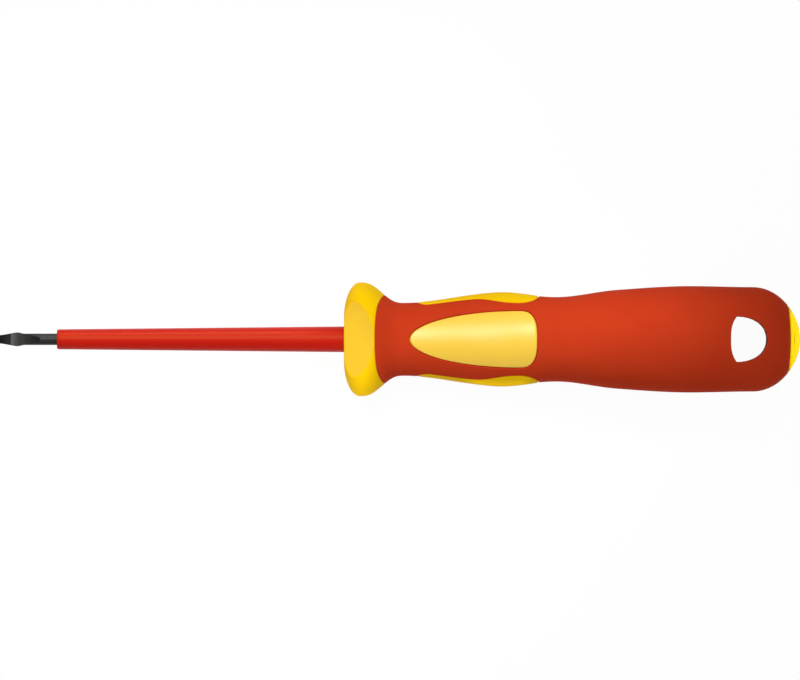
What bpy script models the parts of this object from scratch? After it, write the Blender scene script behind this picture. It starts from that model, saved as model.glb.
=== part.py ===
"""Insulated slotted screwdriver, 2.5 x 75 mm blade, in metres with +Z up.

The driver lies on its side along X with its tip at -X, so that the scalloped flat of its guard and
the swell of its palm both touch Z = 0. Shapes are drawn along the blade's axis: x is the station
behind the tip, and the empty driver_axis carries that axis to its height above the bench.

A hard core is moulded round the blade's winged tang and the tail of its insulating sleeve. The red
grip body is moulded over the core, and the soft yellow guard, pads and end cap are keyed into both.
"""

import math

import bmesh
import bpy

MM = 0.001

# Overall lengths along the axis
BLADE_LENGTH = 75.0 * MM  # tip to the front face of the guard
HANDLE_LENGTH = 99.4 * MM  # front face of the guard to the butt

# Steel blade: keystone slotted tip, round shaft, winged tang
SHAFT_DIAMETER = 2.5 * MM
TIP_WIDTH = 1.86 * MM
TIP_THICKNESS = 0.4 * MM
CREASE_STATION = 2.5 * MM  # where the end bevel meets the hollow grind
CREASE_WIDTH = 2.62 * MM
CREASE_THICKNESS = 1.0 * MM
FLARE_STATION = 3.95 * MM
FLARE_WIDTH = 3.03 * MM
FLARE_END_STATION = 5.5 * MM
GRIND_END_STATION = 8.95 * MM  # where the hollow grind runs out on the shaft
TANG_LENGTH = 62.0 * MM  # steel inside the handle
WING_SETBACK = 12.0 * MM  # from the tang's end to the back of its wings
WING_LENGTH = 11.0 * MM
WING_WIDTH = 4.6 * MM
WING_THICKNESS = 1.5 * MM
WING_RAMP = 2.2 * MM
TANG_CHAMFER = 0.4 * MM

# Insulating sleeve moulded on the shaft
BARE_TIP_LENGTH = 12.5 * MM
SLEEVE_TIP_DIAMETER = 4.36 * MM
SLEEVE_ROOT_DIAMETER = 5.6 * MM
SLEEVE_EDGE_RADIUS = 0.45 * MM
SLEEVE_TAIL_LENGTH = 15.0 * MM  # inside the handle
SLEEVE_FLANGE_STATION = 6.5 * MM  # behind the guard's front face
SLEEVE_FLANGE_LENGTH = 2.0 * MM
SLEEVE_FLANGE_DIAMETER = 7.4 * MM

# Guard, as turned, and the scallops that stop the driver rolling
GUARD_DIAMETER = 24.84 * MM
GUARD_RIM_STATION = 3.5 * MM  # behind the front face
GUARD_FACE_DIAMETER = 9.6 * MM
GUARD_FRONT_WALL = 3.0 * MM
SCALLOP_RADIUS = 30.0 * MM
SCALLOP_ANGLE = math.radians(50.0)  # of the scallop's floor to the axis
GUARD_EDGE_STATION = 6.7 * MM  # seam with the grip body, on the scalloped sides
GUARD_EDGE_WAVE = 2.14 * MM  # how much further back the seam runs between the scallops

# Handle outline behind the guard: stations are from the guard's front face, setbacks from the butt
NECK_STATION = 13.1 * MM
NECK_DIAMETER = 15.86 * MM
GRIP_STATION = 34.0 * MM
GRIP_DIAMETER = 20.1 * MM
WAIST_STATION = 46.2 * MM
WAIST_DIAMETER = 18.4 * MM
PALM_SETBACK = 24.0 * MM
PALM_DIAMETER = 23.24 * MM
SWELL_PLACE = 0.45  # share of the way from waist to palm where the swell eases off
SWELL_RISE = 0.65  # share of the rise reached there
SHOULDER_SETBACK = 10.4 * MM
SHOULDER_DIAMETER = 22.8 * MM
BUTT_ROUNDNESS = 0.56  # 0.5 would be an ellipse
BODY_WALL = 2.4 * MM  # grip body over the core, at the neck

# Core
CORE_END_WALL = 6.0 * MM  # behind the tang's end
CORE_BEAD_STATION = 5.2 * MM  # locks the guard, behind its front face
CORE_BEAD_LENGTH = 1.0 * MM
CORE_BEAD_HEIGHT = 0.6 * MM
CORE_RIB_SETBACK = 1.5 * MM  # rib ends, from the neck and from the core's end
CORE_RIB_HEIGHT = 0.8 * MM
CORE_BEAD_RAMP = 0.5 * MM

# Pads inlaid in the grip: bullet-shaped for the thumb above and below, bottle-shaped for the fingers
PAD_DEPTH = 1.5 * MM
PAD_PROUD = 0.23 * MM  # crown of a pad over the grip body, where it is widest
PEG_DIAMETER = 2.4 * MM
PEG_DEPTH = 1.2 * MM
PEG_INSET = 8.0 * MM  # from either end of a pad
THUMB_PAD_STATION = 14.4 * MM
THUMB_PAD_LENGTH = 27.6 * MM
THUMB_PAD_WIDTH = 12.44 * MM
THUMB_PAD_TAIL = 3.85 * MM
THUMB_TAIL_SQUARENESS = 2.85
FINGER_PAD_STATION = 16.15 * MM
FINGER_PAD_LENGTH = 26.15 * MM
FINGER_PAD_WIDTH = 11.58 * MM
FINGER_PAD_TAIL = 6.7 * MM
FINGER_TAIL_SQUARENESS = 2.6
FINGER_TONGUE_ROUND = 2.6 * MM
FINGER_TONGUE_WIDTH = 6.2 * MM  # behind its rounded nose
FINGER_TONGUE_LENGTH = 12.05 * MM
FINGER_TONGUE_END_WIDTH = 7.7 * MM  # where it swells into the bulb

# Hanging hole and end cap
HOLE_SETBACK = 7.4 * MM  # from the butt to the hole's round end
HOLE_LENGTH = 7.85 * MM
HOLE_WIDTH = 9.84 * MM
HOLE_BOW = 1.25 * MM  # of its front side
CAP_EDGE_SETBACK = 2.75 * MM  # seam with the grip body, from the butt
CAP_EDGE_WAVE = 0.5 * MM
CAP_SPIGOT_DIAMETER = 8.0 * MM
CAP_SPIGOT_LENGTH = 2.4 * MM

# Clearances
BOND_GAP = 0.1 * MM  # between moulded-on pieces, out of sight
SEAM_GAP = 0.26 * MM  # open groove where two colours meet

# Facets
ROUND_STEPS = 48
SHAFT_STEPS = 24
BODY_RINGS = 34
PAD_COLUMNS = 7
CUT_MARGIN = 3.0 * MM  # how far a cutter stands out of what it cuts

OVERALL_LENGTH = BLADE_LENGTH + HANDLE_LENGTH
BUTT = OVERALL_LENGTH
NECK = BLADE_LENGTH + NECK_STATION
SHAFT_RADIUS = SHAFT_DIAMETER / 2
SLEEVE_RADIUS = SLEEVE_ROOT_DIAMETER / 2
PALM_RADIUS = PALM_DIAMETER / 2
CORE_RADIUS = NECK_DIAMETER / 2 - BODY_WALL
CORE_FRONT = BLADE_LENGTH + GUARD_FRONT_WALL
TANG_END = BLADE_LENGTH + TANG_LENGTH
CORE_END = TANG_END + CORE_END_WALL
AXIS_HEIGHT = PALM_RADIUS * math.cos(math.pi / ROUND_STEPS)  # a facet lies on the bench


# Outline of the handle

def smooth_curve(points, x):
    """Value at x of a curve through (x, value) points that never overshoots them, level at both ends."""
    gaps = [b[0] - a[0] for a, b in zip(points, points[1:])]
    rises = [(b[1] - a[1]) / gap for a, b, gap in zip(points, points[1:], gaps)]
    slopes = [0.0]
    for before, after in zip(rises, rises[1:]):
        level = before * after <= 0
        slopes.append(0.0 if level else 2 * before * after / (before + after))
    slopes.append(0.0)
    spans = range(len(gaps))
    i = next((k for k in spans if x < points[k + 1][0]), spans[-1])
    t = min(max((x - points[i][0]) / gaps[i], 0.0), 1.0)
    start = (1 + 2 * t) * (1 - t) ** 2 * points[i][1] + t * (1 - t) ** 2 * gaps[i] * slopes[i]
    end = t * t * (3 - 2 * t) * points[i + 1][1] - t * t * (1 - t) * gaps[i] * slopes[i + 1]
    return start + end


def between(a, b, share):
    return a + (b - a) * share


def grip_stations():
    """Named stations of the handle from its neck to its shoulder, as (station, radius)."""
    neck = (NECK, NECK_DIAMETER / 2)
    grip = (BLADE_LENGTH + GRIP_STATION, GRIP_DIAMETER / 2)
    waist = (BLADE_LENGTH + WAIST_STATION, WAIST_DIAMETER / 2)
    palm = (BUTT - PALM_SETBACK, PALM_RADIUS)
    shoulder = (BUTT - SHOULDER_SETBACK, SHOULDER_DIAMETER / 2)
    swell = (between(waist[0], palm[0], SWELL_PLACE), between(waist[1], palm[1], SWELL_RISE))
    return [neck, grip, waist, swell, palm, shoulder]


def handle_radius(station):
    """Outer radius of guard, grip body and end cap, which share one outline."""
    rim = BLADE_LENGTH + GUARD_RIM_STATION
    rim_radius = GUARD_DIAMETER / 2
    shoulder = BUTT - SHOULDER_SETBACK
    if station < rim:
        face = GUARD_FACE_DIAMETER / 2
        depth = (rim - station) / GUARD_RIM_STATION
        return between(face, rim_radius, math.sqrt(max(1 - depth**2, 0.0)))
    if station < NECK:
        t = (station - rim) / (NECK - rim)
        return between(rim_radius, NECK_DIAMETER / 2, t**3 * (6 * t**2 - 15 * t + 10))
    if station > shoulder:
        depth = (station - shoulder) / SHOULDER_SETBACK
        return SHOULDER_DIAMETER / 2 * max(1 - depth**2, 0.0) ** BUTT_ROUNDNESS
    return smooth_curve(grip_stations(), station)


def scallop_end():
    """Station where the guard's flare has come down to the palm's radius, so that the driver lies level."""
    low, high = BLADE_LENGTH + GUARD_RIM_STATION, NECK
    for _ in range(40):
        middle = (low + high) / 2
        if handle_radius(middle) > PALM_RADIUS:
            low = middle
        else:
            high = middle
    return middle


def guard_edge(angle):
    """Station of the seam between guard and grip body, at an angle from +Z about the axis."""
    return BLADE_LENGTH + GUARD_EDGE_STATION + GUARD_EDGE_WAVE * abs(math.sin(angle)) ** 3


def cap_edge(angle):
    """Station of the seam between grip body and end cap."""
    return BUTT - CAP_EDGE_SETBACK + CAP_EDGE_WAVE * math.cos(angle) ** 2


# Building blocks

def material(name, colour, roughness, metallic=0.0):
    made = bpy.data.materials.new(name)
    made.use_nodes = True
    shader = made.node_tree.nodes["Principled BSDF"]
    shader.inputs["Base Color"].default_value = (*colour, 1.0)
    shader.inputs["Roughness"].default_value = roughness
    shader.inputs["Metallic"].default_value = metallic
    made.diffuse_color = (*colour, 1.0)
    return made


def finished(name, mesh_builder, axis, finish=None):
    """Object on the driver's axis from a bmesh. Without a finish it is a cutter, and stays hidden."""
    bmesh.ops.remove_doubles(mesh_builder, verts=mesh_builder.verts, dist=1e-7)
    bmesh.ops.recalc_face_normals(mesh_builder, faces=mesh_builder.faces)
    mesh = bpy.data.meshes.new(name)
    mesh_builder.to_mesh(mesh)
    mesh_builder.free()
    made = bpy.data.objects.new(name, mesh)
    bpy.context.scene.collection.objects.link(made)
    made.parent = axis
    if finish is None:
        made.hide_render = True
        made.display_type = "WIRE"
    else:
        mesh.materials.append(finish)
        mesh.shade_smooth()
        mesh.set_sharp_from_angle(angle=math.radians(35))
    return made


def skin(rings, closed=False, caps=True):
    """Bmesh whose sides join rings of as many points each. A closed skin joins the last to the first."""
    builder = bmesh.new()
    loops = [[builder.verts.new(point) for point in ring] for ring in rings]
    pairs = list(zip(loops, loops[1:]))
    if closed:
        pairs.append((loops[-1], loops[0]))
    for first, second in pairs:
        for i in range(len(first)):
            j = (i + 1) % len(first)
            builder.faces.new((first[i], first[j], second[j], second[i]))
    if caps and not closed:
        builder.faces.new(loops[0])
        builder.faces.new(loops[-1])
    return builder


def turned_ring(place, steps=ROUND_STEPS):
    """Ring of points about the axis. place turns an angle from +Z into (station, radius)."""
    ring = []
    for i in range(steps):
        angle = 2 * math.pi * (i + 0.5) / steps
        station, radius = place(angle)
        ring.append((station, radius * math.sin(angle), radius * math.cos(angle)))
    return ring


def level(station, radius):
    """A ring square to the axis."""
    return lambda angle: (station, radius)


def turned(profile, steps, closed=False):
    """Bmesh turned about the axis from (station, radius) points."""
    return skin([turned_ring(level(*point), steps) for point in profile], closed)


def prism(outline, axis_index, reach):
    """Bmesh of a flat outline given in the other two axes, standing reach to each side along one axis."""
    sides = []
    for depth in (-reach, reach):
        side = [list(point) for point in outline]
        for point in side:
            point.insert(axis_index, depth)
        sides.append(side)
    return skin(sides)


def boolean(target, other, operation="DIFFERENCE"):
    step = target.modifiers.new(other.name, "BOOLEAN")
    step.operation = operation
    step.object = other
    step.solver = "EXACT"


# Steel blade

def blade_rings(gap=0.0):
    """Oval sections of the blade, as (station, half width, half thickness), before the tip is ground."""
    r = SHAFT_RADIUS + gap
    wing_back = TANG_END - WING_SETBACK
    wing_front = wing_back - WING_LENGTH
    wing = (WING_WIDTH / 2 + gap, WING_THICKNESS / 2 + gap)
    tip = [
        (0.0, TIP_WIDTH / 2),
        (CREASE_STATION, CREASE_WIDTH / 2),
        (FLARE_STATION, FLARE_WIDTH / 2),
        (FLARE_END_STATION, SHAFT_RADIUS),
    ]
    steps = 10
    tip_stations = [FLARE_END_STATION * i / steps for i in range(steps + 1)]
    sections = [(s, smooth_curve(tip, s) + gap, r) for s in tip_stations]
    sections += [
        (GRIND_END_STATION, r, r),
        (BARE_TIP_LENGTH, r, r),
        (BLADE_LENGTH, r, r),
        (wing_front - WING_RAMP, r, r),
        (wing_front, *wing),
        (wing_back, *wing),
        (wing_back + WING_RAMP, r, r),
        (TANG_END - TANG_CHAMFER + gap, r, r),
        (TANG_END + gap, r - TANG_CHAMFER, r - TANG_CHAMFER),
    ]
    return sections


def blade_skin(sections):
    rings = []
    for station, half_width, half_thickness in sections:
        angles = [2 * math.pi * (i + 0.5) / SHAFT_STEPS for i in range(SHAFT_STEPS)]
        ring = [(station, half_width * math.sin(a), half_thickness * math.cos(a)) for a in angles]
        rings.append(ring)
    return skin(rings)


def grind_outline():
    """Side view of what the wheel takes off one face of the tip: end bevel, then a hollow grind."""
    tip, crease = TIP_THICKNESS / 2, CREASE_THICKNESS / 2
    run = GRIND_END_STATION - CREASE_STATION
    rise = SHAFT_RADIUS - crease
    wheel = (run**2 + rise**2) / (2 * rise)
    bevel_slope = (crease - tip) / CREASE_STATION
    top = FLARE_WIDTH
    outline = [(-CUT_MARGIN, top), (-CUT_MARGIN, tip - bevel_slope * CUT_MARGIN)]
    steps = 9
    overrun = 1.15
    for i in range(steps + 1):
        s = run * overrun * i / steps
        outline.append((CREASE_STATION + s, crease + wheel - math.sqrt(wheel**2 - s**2)))
    outline.append((outline[-1][0], top))
    return outline


def make_blade(axis, steel):
    blade = finished("blade", blade_skin(blade_rings()), axis, steel)
    outline = grind_outline()
    for name, side in (("grind_top", 1), ("grind_bottom", -1)):
        flipped = [(s, z * side) for s, z in outline]
        boolean(blade, finished(name, prism(flipped, 1, FLARE_WIDTH), axis))
    return blade


# Insulating sleeve

def sleeve_tail(gap):
    """Profile of the sleeve inside the handle, front to back, as (station, radius)."""
    root = SLEEVE_RADIUS + gap
    flange = SLEEVE_FLANGE_DIAMETER / 2 + gap
    front = BLADE_LENGTH + SLEEVE_FLANGE_STATION
    back = front + SLEEVE_FLANGE_LENGTH
    end = BLADE_LENGTH + SLEEVE_TAIL_LENGTH
    return [(front - gap, root), (front - gap, flange), (back + gap, flange), (back + gap, root), (end + gap, root)]


def make_sleeve(axis, plastic):
    bore = SHAFT_RADIUS + BOND_GAP
    tip_radius = SLEEVE_TIP_DIAMETER / 2
    edge = SLEEVE_EDGE_RADIUS
    profile = [(BLADE_LENGTH + SLEEVE_TAIL_LENGTH, bore), (BARE_TIP_LENGTH, bore)]
    corner_steps = 5
    for i in range(corner_steps + 1):
        turn = math.pi / 2 * i / corner_steps
        along = BARE_TIP_LENGTH + edge * (1 - math.sin(turn))
        profile.append((along, tip_radius - edge * (1 - math.cos(turn))))
    outer = profile[2:][::-1]
    profile = profile[:2] + outer + [(BLADE_LENGTH, SLEEVE_RADIUS)] + sleeve_tail(0.0)
    return finished("shaft_sleeve", turned(profile, SHAFT_STEPS, closed=True), axis, plastic)


# Hard core

def core_rings(gap=0.0, front=CORE_FRONT):
    """Rings of the core from its front to its end: plain nose with a bead, then ribs between the pads."""
    radius = CORE_RADIUS + gap
    bead = radius + CORE_BEAD_HEIGHT
    bead_front = BLADE_LENGTH + CORE_BEAD_STATION
    bead_back = bead_front + CORE_BEAD_LENGTH
    rib_front = NECK + CORE_RIB_SETBACK - gap
    rib_back = CORE_END - CORE_RIB_SETBACK + gap

    def ribbed(station):
        def place(angle):
            on_rib = math.cos(4 * angle) < -0.9
            return station, radius + (CORE_RIB_HEIGHT if on_rib else 0.0)
        return place

    return [
        level(front, radius),
        level(bead_front - CORE_BEAD_RAMP, radius),
        level(bead_front, bead),
        level(bead_back, bead),
        level(bead_back + CORE_BEAD_RAMP, radius),
        level(rib_front, radius),
        ribbed(rib_front),
        ribbed(rib_back),
        level(rib_back, radius),
        level(CORE_END + gap, radius),
    ]


def make_core(axis, plastic):
    core = finished("handle_core", skin([turned_ring(ring) for ring in core_rings()]), axis, plastic)
    tang = [section for section in blade_rings(BOND_GAP) if section[0] >= BARE_TIP_LENGTH]
    boolean(core, finished("tang_space", blade_skin(tang), axis))
    front = (CORE_FRONT - CUT_MARGIN, SLEEVE_RADIUS + BOND_GAP)
    tail = turned([front, *sleeve_tail(BOND_GAP)], SHAFT_STEPS)
    boolean(core, finished("sleeve_space", tail, axis))
    return core


# Guard

def make_guard(axis, soft):
    hole = SLEEVE_RADIUS + BOND_GAP
    rings = [level(BLADE_LENGTH, hole), level(BLADE_LENGTH, GUARD_FACE_DIAMETER / 2)]
    lip_steps = 6
    for i in range(1, lip_steps + 1):
        station = BLADE_LENGTH + GUARD_RIM_STATION * (1 - math.cos(math.pi / 2 * i / lip_steps))
        rings.append(level(station, handle_radius(station)))
    rim = BLADE_LENGTH + GUARD_RIM_STATION
    back = SEAM_GAP / 2
    flare_steps = 7

    def flare(share):
        def place(angle):
            station = between(rim, guard_edge(angle) - back, share)
            return station, handle_radius(station)
        return place

    rings += [flare(i / flare_steps) for i in range(1, flare_steps + 1)]
    rings.append(lambda angle: (guard_edge(angle) - back, CORE_RADIUS + BOND_GAP))
    seat = CORE_FRONT - BOND_GAP
    rings += core_rings(BOND_GAP, front=seat)[4::-1]
    rings.append(level(seat, hole))
    guard = finished("guard_collar", skin([turned_ring(ring) for ring in rings], closed=True), axis, soft)

    for name, facing in (("scallop_top", 0.0), ("scallop_bottom", math.pi)):
        boolean(guard, scallop(name, axis, facing))
    return guard


def scallop(name, axis, facing):
    """Round cutter lying along the scallop's floor, which runs out where the flare meets the palm's radius."""
    half_arc = 0.6
    arc_steps = 28
    reach = GUARD_DIAMETER
    end = scallop_end()
    cos_a, sin_a = math.cos(SCALLOP_ANGLE), math.sin(SCALLOP_ANGLE)
    section = []
    for i in range(arc_steps + 1):
        turn = half_arc * (2 * i / arc_steps - 1)
        section.append((SCALLOP_RADIUS * math.sin(turn), SCALLOP_RADIUS * (1 - math.cos(turn))))
    section += [(section[-1][0], SCALLOP_RADIUS), (section[0][0], SCALLOP_RADIUS)]
    floor_height = AXIS_HEIGHT
    rings = []
    for along in (-reach, reach):
        ring = []
        for across, up in section:
            ring.append((end + along * cos_a - up * sin_a, across, floor_height + along * sin_a + up * cos_a))
        rings.append(ring)
    made = finished(name, skin(rings), axis)
    made.rotation_euler.x = facing
    return made


# Pads

def thumb_outline():
    """Half outline of a thumb pad from nose to tail, as (station, half width): ellipse, then squared tail."""
    widest = BLADE_LENGTH + THUMB_PAD_STATION + THUMB_PAD_LENGTH - THUMB_PAD_TAIL
    nose = THUMB_PAD_LENGTH - THUMB_PAD_TAIL
    half = THUMB_PAD_WIDTH / 2
    steps = 12
    outline = []
    for i in range(steps + 1):
        turn = math.pi / 2 * i / steps
        outline.append((widest - nose * math.cos(turn), half * math.sin(turn)))
    return outline + tail_outline(widest, THUMB_PAD_TAIL, half, THUMB_TAIL_SQUARENESS)


def finger_outline():
    """Half outline of a finger pad: narrow tongue in front, swelling to a round bulb behind."""
    nose = BLADE_LENGTH + FINGER_PAD_STATION
    widest = nose + FINGER_PAD_LENGTH - FINGER_PAD_TAIL
    tongue, half = FINGER_TONGUE_WIDTH / 2, FINGER_PAD_WIDTH / 2
    tongue_front = nose + FINGER_TONGUE_ROUND
    tongue_end = (nose + FINGER_TONGUE_LENGTH, FINGER_TONGUE_END_WIDTH / 2)
    sides = [(tongue_front, tongue), tongue_end, (widest, half)]
    nose_steps, side_steps = 7, 12
    outline = []
    for i in range(nose_steps):
        turn = math.pi / 2 * i / nose_steps
        outline.append((nose + FINGER_TONGUE_ROUND * (1 - math.cos(turn)), tongue * math.sin(turn)))
    for i in range(side_steps + 1):
        station = between(tongue_front, widest, i / side_steps)
        outline.append((station, smooth_curve(sides, station)))
    return outline + tail_outline(widest, FINGER_PAD_TAIL, half, FINGER_TAIL_SQUARENESS)


def tail_outline(widest, length, half, squareness):
    """Rounded-off end of a pad, stopping at a short flat."""
    steps = 7
    sweep = math.radians(84)
    power = 2 / squareness
    turns = [sweep * i / steps for i in range(1, steps + 1)]
    return [(widest + length * math.sin(t) ** power, half * math.cos(t) ** power) for t in turns]


def grown(outline, gap):
    """The half outline moved outwards by a gap."""
    moved = []
    last = len(outline) - 1
    for i, (station, half) in enumerate(outline):
        before = outline[i - 1] if i else (outline[1][0], -outline[1][1])
        after = outline[min(i + 1, last)]
        along, across = after[0] - before[0], after[1] - before[1]
        size = math.hypot(along, across)
        moved.append((station - gap * across / size, max(half + gap * along / size, 0.0)))
    return moved


def pad_skin(outline, floor, top):
    """Bmesh of a curved slab with radial walls. floor and top give its radius at (station, half, side)."""
    sides = [2 * i / (PAD_COLUMNS - 1) - 1 for i in range(PAD_COLUMNS)]
    rings = []
    for station, half in outline:
        spread = math.asin(half / handle_radius(station))
        ring = []
        for radius_at, order in ((top, sides), (floor, sides[::-1])):
            for side in order:
                radius = radius_at(station, half, side)
                ring.append((station, radius * math.sin(spread * side), radius * math.cos(spread * side)))
        rings.append(ring)
    builder = skin(rings, caps=False)
    builder.verts.ensure_lookup_table()
    builder.faces.new(builder.verts[-2 * PAD_COLUMNS:])
    return builder


def pegs(name, outline, axis, facing, gap):
    """The two anchor pegs under a pad, or with a gap their holes, each a separate hidden cutter."""
    made = []
    ends = (outline[0][0] + PEG_INSET, outline[-1][0] - PEG_INSET)
    for place, station in zip(("front", "back"), ends):
        floor = handle_radius(station) - PAD_DEPTH
        radius = PEG_DIAMETER / 2 + gap
        steps = 16
        rings = []
        for height in (floor - PEG_DEPTH - gap, floor + PAD_DEPTH / 2):
            turns = [2 * math.pi * i / steps for i in range(steps)]
            rings.append([(station + radius * math.cos(t), radius * math.sin(t), height) for t in turns])
        peg = finished(f"{name}_{place}", skin(rings), axis)
        peg.rotation_euler.x = facing
        made.append(peg)
    return made


def make_pad(name, outline, facing, axis, soft, body):
    """A pad and the pocket that it fills in the grip body."""
    widest = max(half for _, half in outline)

    def crowned(station, half, side):
        return handle_radius(station) + PAD_PROUD * (half / widest) ** 2 * (1 - side**2)

    def seat(station, half, side):
        return handle_radius(station) - PAD_DEPTH + BOND_GAP

    def pocket_floor(station, half, side):
        return handle_radius(station) - PAD_DEPTH

    def clear(station, half, side):
        return handle_radius(station) + CUT_MARGIN

    pad = finished(name, pad_skin(outline, seat, crowned), axis, soft)
    pad.rotation_euler.x = facing
    for peg in pegs(f"{name}_peg", outline, axis, facing, 0.0):
        boolean(pad, peg, "UNION")
    pocket = finished(f"{name}_pocket", pad_skin(grown(outline, SEAM_GAP), pocket_floor, clear), axis)
    pocket.rotation_euler.x = facing
    boolean(body, pocket)
    for hole in pegs(f"{name}_hole", outline, axis, facing, BOND_GAP):
        boolean(body, hole)
    return pad


# Grip body

def hole_outline():
    """D-shaped outline of the hanging hole: bowed front side, round end towards the butt."""
    end = BUTT - HOLE_SETBACK
    half = HOLE_WIDTH / 2
    corner = end - HOLE_LENGTH + HOLE_BOW
    bow_radius = (half**2 + HOLE_BOW**2) / (2 * HOLE_BOW)
    bow_turn = math.asin(half / bow_radius)
    bow_centre = end - HOLE_LENGTH + bow_radius
    end_squareness = 2.2
    power = 2 / end_squareness
    steps = 14
    outline = []
    for i in range(steps + 1):
        turn = math.pi / 2 * (1 - 2 * i / steps)
        across = math.copysign(abs(math.sin(turn)) ** power, turn)
        outline.append((corner + (end - corner) * math.cos(turn) ** power, half * across))
    bow_steps = 8
    for i in range(1, bow_steps):
        turn = bow_turn * (2 * i / bow_steps - 1)
        outline.append((bow_centre - bow_radius * math.cos(turn), bow_radius * math.sin(turn)))
    return outline


def make_body(axis, plastic):
    """Grip body: one skin from the core's pocket, round the outside, to the end cap's socket."""
    seam = SEAM_GAP / 2
    spigot = CAP_SPIGOT_DIAMETER / 2 + BOND_GAP
    spigot_end = BUTT - CAP_EDGE_SETBACK - CAP_SPIGOT_LENGTH - BOND_GAP

    def front(angle):
        return guard_edge(angle) + seam

    def back(angle):
        return cap_edge(angle) - seam

    def outside(share):
        def place(angle):
            station = between(front(angle), back(angle), share)
            return station, handle_radius(station)
        return place

    cavity = [ring for ring in core_rings(BOND_GAP)[:4:-1]]
    rings = cavity + [lambda angle: (front(angle), CORE_RADIUS + BOND_GAP)]
    shares = [math.sin(math.pi / 2 * i / BODY_RINGS) ** 0.9 for i in range(BODY_RINGS + 1)]
    rings += [outside(share) for share in shares]
    rings += [lambda angle: (back(angle), spigot), level(spigot_end, spigot)]
    body = finished("grip_body", skin([turned_ring(ring) for ring in rings]), axis, plastic)
    hole = prism(hole_outline(), 2, GUARD_DIAMETER)
    boolean(body, finished("hanging_hole", hole, axis))
    return body


# End cap

def make_cap(axis, soft):
    seam = SEAM_GAP / 2
    spigot = CAP_SPIGOT_DIAMETER / 2
    spigot_end = BUTT - CAP_EDGE_SETBACK - CAP_SPIGOT_LENGTH

    def edge(angle):
        return cap_edge(angle) + seam

    def dome(share):
        def place(angle):
            station = between(edge(angle), BUTT, share)
            return station, handle_radius(station)
        return place

    steps = 7
    rings = [level(spigot_end, 0.0), level(spigot_end, spigot), lambda angle: (edge(angle), spigot)]
    rings += [dome(math.sin(math.pi / 2 * i / steps)) for i in range(steps + 1)]
    return finished("end_cap", skin([turned_ring(ring) for ring in rings], caps=False), axis, soft)


def make_driver():
    for old in list(bpy.data.objects):
        bpy.data.objects.remove(old)
    axis = bpy.data.objects.new("driver_axis", None)
    bpy.context.scene.collection.objects.link(axis)
    axis.location = (-OVERALL_LENGTH / 2, 0.0, AXIS_HEIGHT)

    steel = material("black_oxide_steel", (0.035, 0.035, 0.035), 0.38, 1.0)
    sleeve_red = material("sleeve_polyamide", (0.60, 0.045, 0.02), 0.35)
    core_grey = material("core_polypropylene", (0.30, 0.30, 0.28), 0.5)
    grip_red = material("grip_polypropylene", (0.55, 0.05, 0.014), 0.35)
    soft_yellow = material("soft_elastomer", (0.95, 0.60, 0.01), 0.55)

    make_blade(axis, steel)
    make_sleeve(axis, sleeve_red)
    make_core(axis, core_grey)
    make_guard(axis, soft_yellow)
    body = make_body(axis, grip_red)
    make_pad("thumb_pad_top", thumb_outline(), 0.0, axis, soft_yellow, body)
    make_pad("thumb_pad_bottom", thumb_outline(), math.pi, axis, soft_yellow, body)
    make_pad("finger_pad_left", finger_outline(), -math.pi / 2, axis, soft_yellow, body)
    make_pad("finger_pad_right", finger_outline(), math.pi / 2, axis, soft_yellow, body)
    make_cap(axis, soft_yellow)


make_driver()
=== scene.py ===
import math

import bmesh
import bpy
from mathutils import Matrix, Vector


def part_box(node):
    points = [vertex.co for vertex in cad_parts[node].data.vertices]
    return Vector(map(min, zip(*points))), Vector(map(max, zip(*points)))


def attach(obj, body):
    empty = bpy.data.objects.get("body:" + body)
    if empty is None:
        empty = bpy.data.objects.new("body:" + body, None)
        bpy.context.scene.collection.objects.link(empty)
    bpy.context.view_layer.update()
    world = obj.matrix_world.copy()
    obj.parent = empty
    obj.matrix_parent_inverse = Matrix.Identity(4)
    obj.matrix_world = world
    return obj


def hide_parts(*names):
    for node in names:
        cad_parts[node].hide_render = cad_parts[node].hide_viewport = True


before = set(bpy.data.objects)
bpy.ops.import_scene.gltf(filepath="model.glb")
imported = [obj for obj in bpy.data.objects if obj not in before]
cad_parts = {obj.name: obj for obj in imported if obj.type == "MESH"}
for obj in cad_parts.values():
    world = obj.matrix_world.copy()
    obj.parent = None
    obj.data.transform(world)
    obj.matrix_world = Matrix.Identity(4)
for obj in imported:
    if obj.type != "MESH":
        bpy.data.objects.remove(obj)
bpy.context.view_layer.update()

# Blade: a 2.5 mm round of tool steel, forged wider at the tip, ground hollow on both faces and
# blacked. Its tang is pressed into two wings, which the core is moulded round.
# Shapes are drawn in millimetres on the driver's axis, where x is the distance behind the tip.

tip_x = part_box("blade")[0].x
axis_height = sum(corner.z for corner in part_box("shaft_sleeve")) / 2
millimetre = 0.001
weld_distance = 0.002


def between(a, b, share):
    return a + (b - a) * share


def spread(start, end, cells):
    """Evenly spaced values from start to end."""
    return [between(start, end, i / cells) for i in range(cells + 1)]


def eased(points, x):
    """Value at x of a smooth curve through (x, value) points, level at both ends, with no overshoot."""
    gaps = [b[0] - a[0] for a, b in zip(points, points[1:])]
    rises = [(b[1] - a[1]) / gap for a, b, gap in zip(points, points[1:], gaps)]
    slopes = [0.0]
    for before, after in zip(rises, rises[1:]):
        slopes.append(2 * before * after / (before + after) if before * after > 0 else 0.0)
    slopes.append(0.0)
    i = next((k for k in range(len(gaps)) if x < points[k + 1][0]), len(gaps) - 1)
    t = min(max((x - points[i][0]) / gaps[i], 0.0), 1.0)
    start = (1 + 2 * t) * (1 - t) ** 2 * points[i][1] + t * (1 - t) ** 2 * gaps[i] * slopes[i]
    return start + t * t * (3 - 2 * t) * points[i + 1][1] - t * t * (1 - t) * gaps[i] * slopes[i + 1]


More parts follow.
